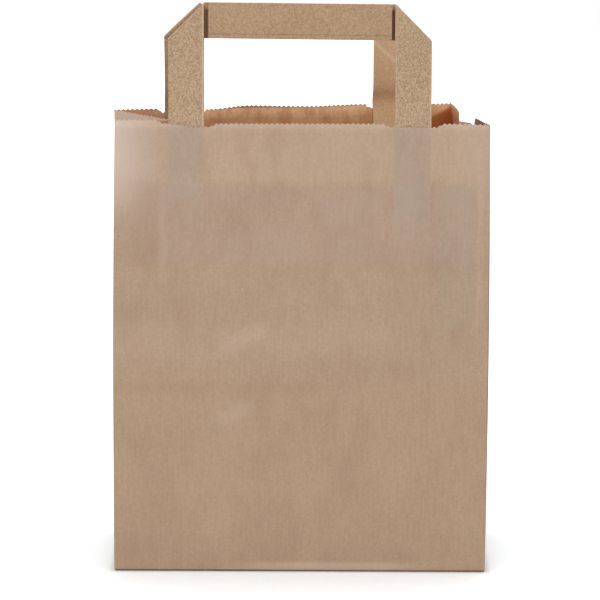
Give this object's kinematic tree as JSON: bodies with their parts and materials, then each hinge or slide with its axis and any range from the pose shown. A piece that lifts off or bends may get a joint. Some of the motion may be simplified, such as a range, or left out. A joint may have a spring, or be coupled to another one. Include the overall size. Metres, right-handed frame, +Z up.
{
  "type": "paper carrier bag",
  "caption": "Small open brown paper carrier bag with folded side gussets, a pinked rim, a block bottom and flat paper tape handles glued inside under patches.",
  "frame": {"origin": "middle of the base, on the outer face of the front bottom flap", "axes": "+Z up from the base to the mouth; the front wall faces -Y; +X is to the right when looking at the front wall"},
  "size_m": [0.1815, 0.0894, 0.2733],
  "materials": {
    "body_paper": "matt ribbed kraft paper",
    "handle_paper": "matt kraft paper, folded in plies",
    "patch_paper": "matt kraft paper"
  },
  "bodies": {
    "root": {"bag_body": "body_paper", "front_handle": "handle_paper", "back_handle": "handle_paper", "front_patch": "patch_paper", "back_patch": "patch_paper"}
  },
  "joints": []
}
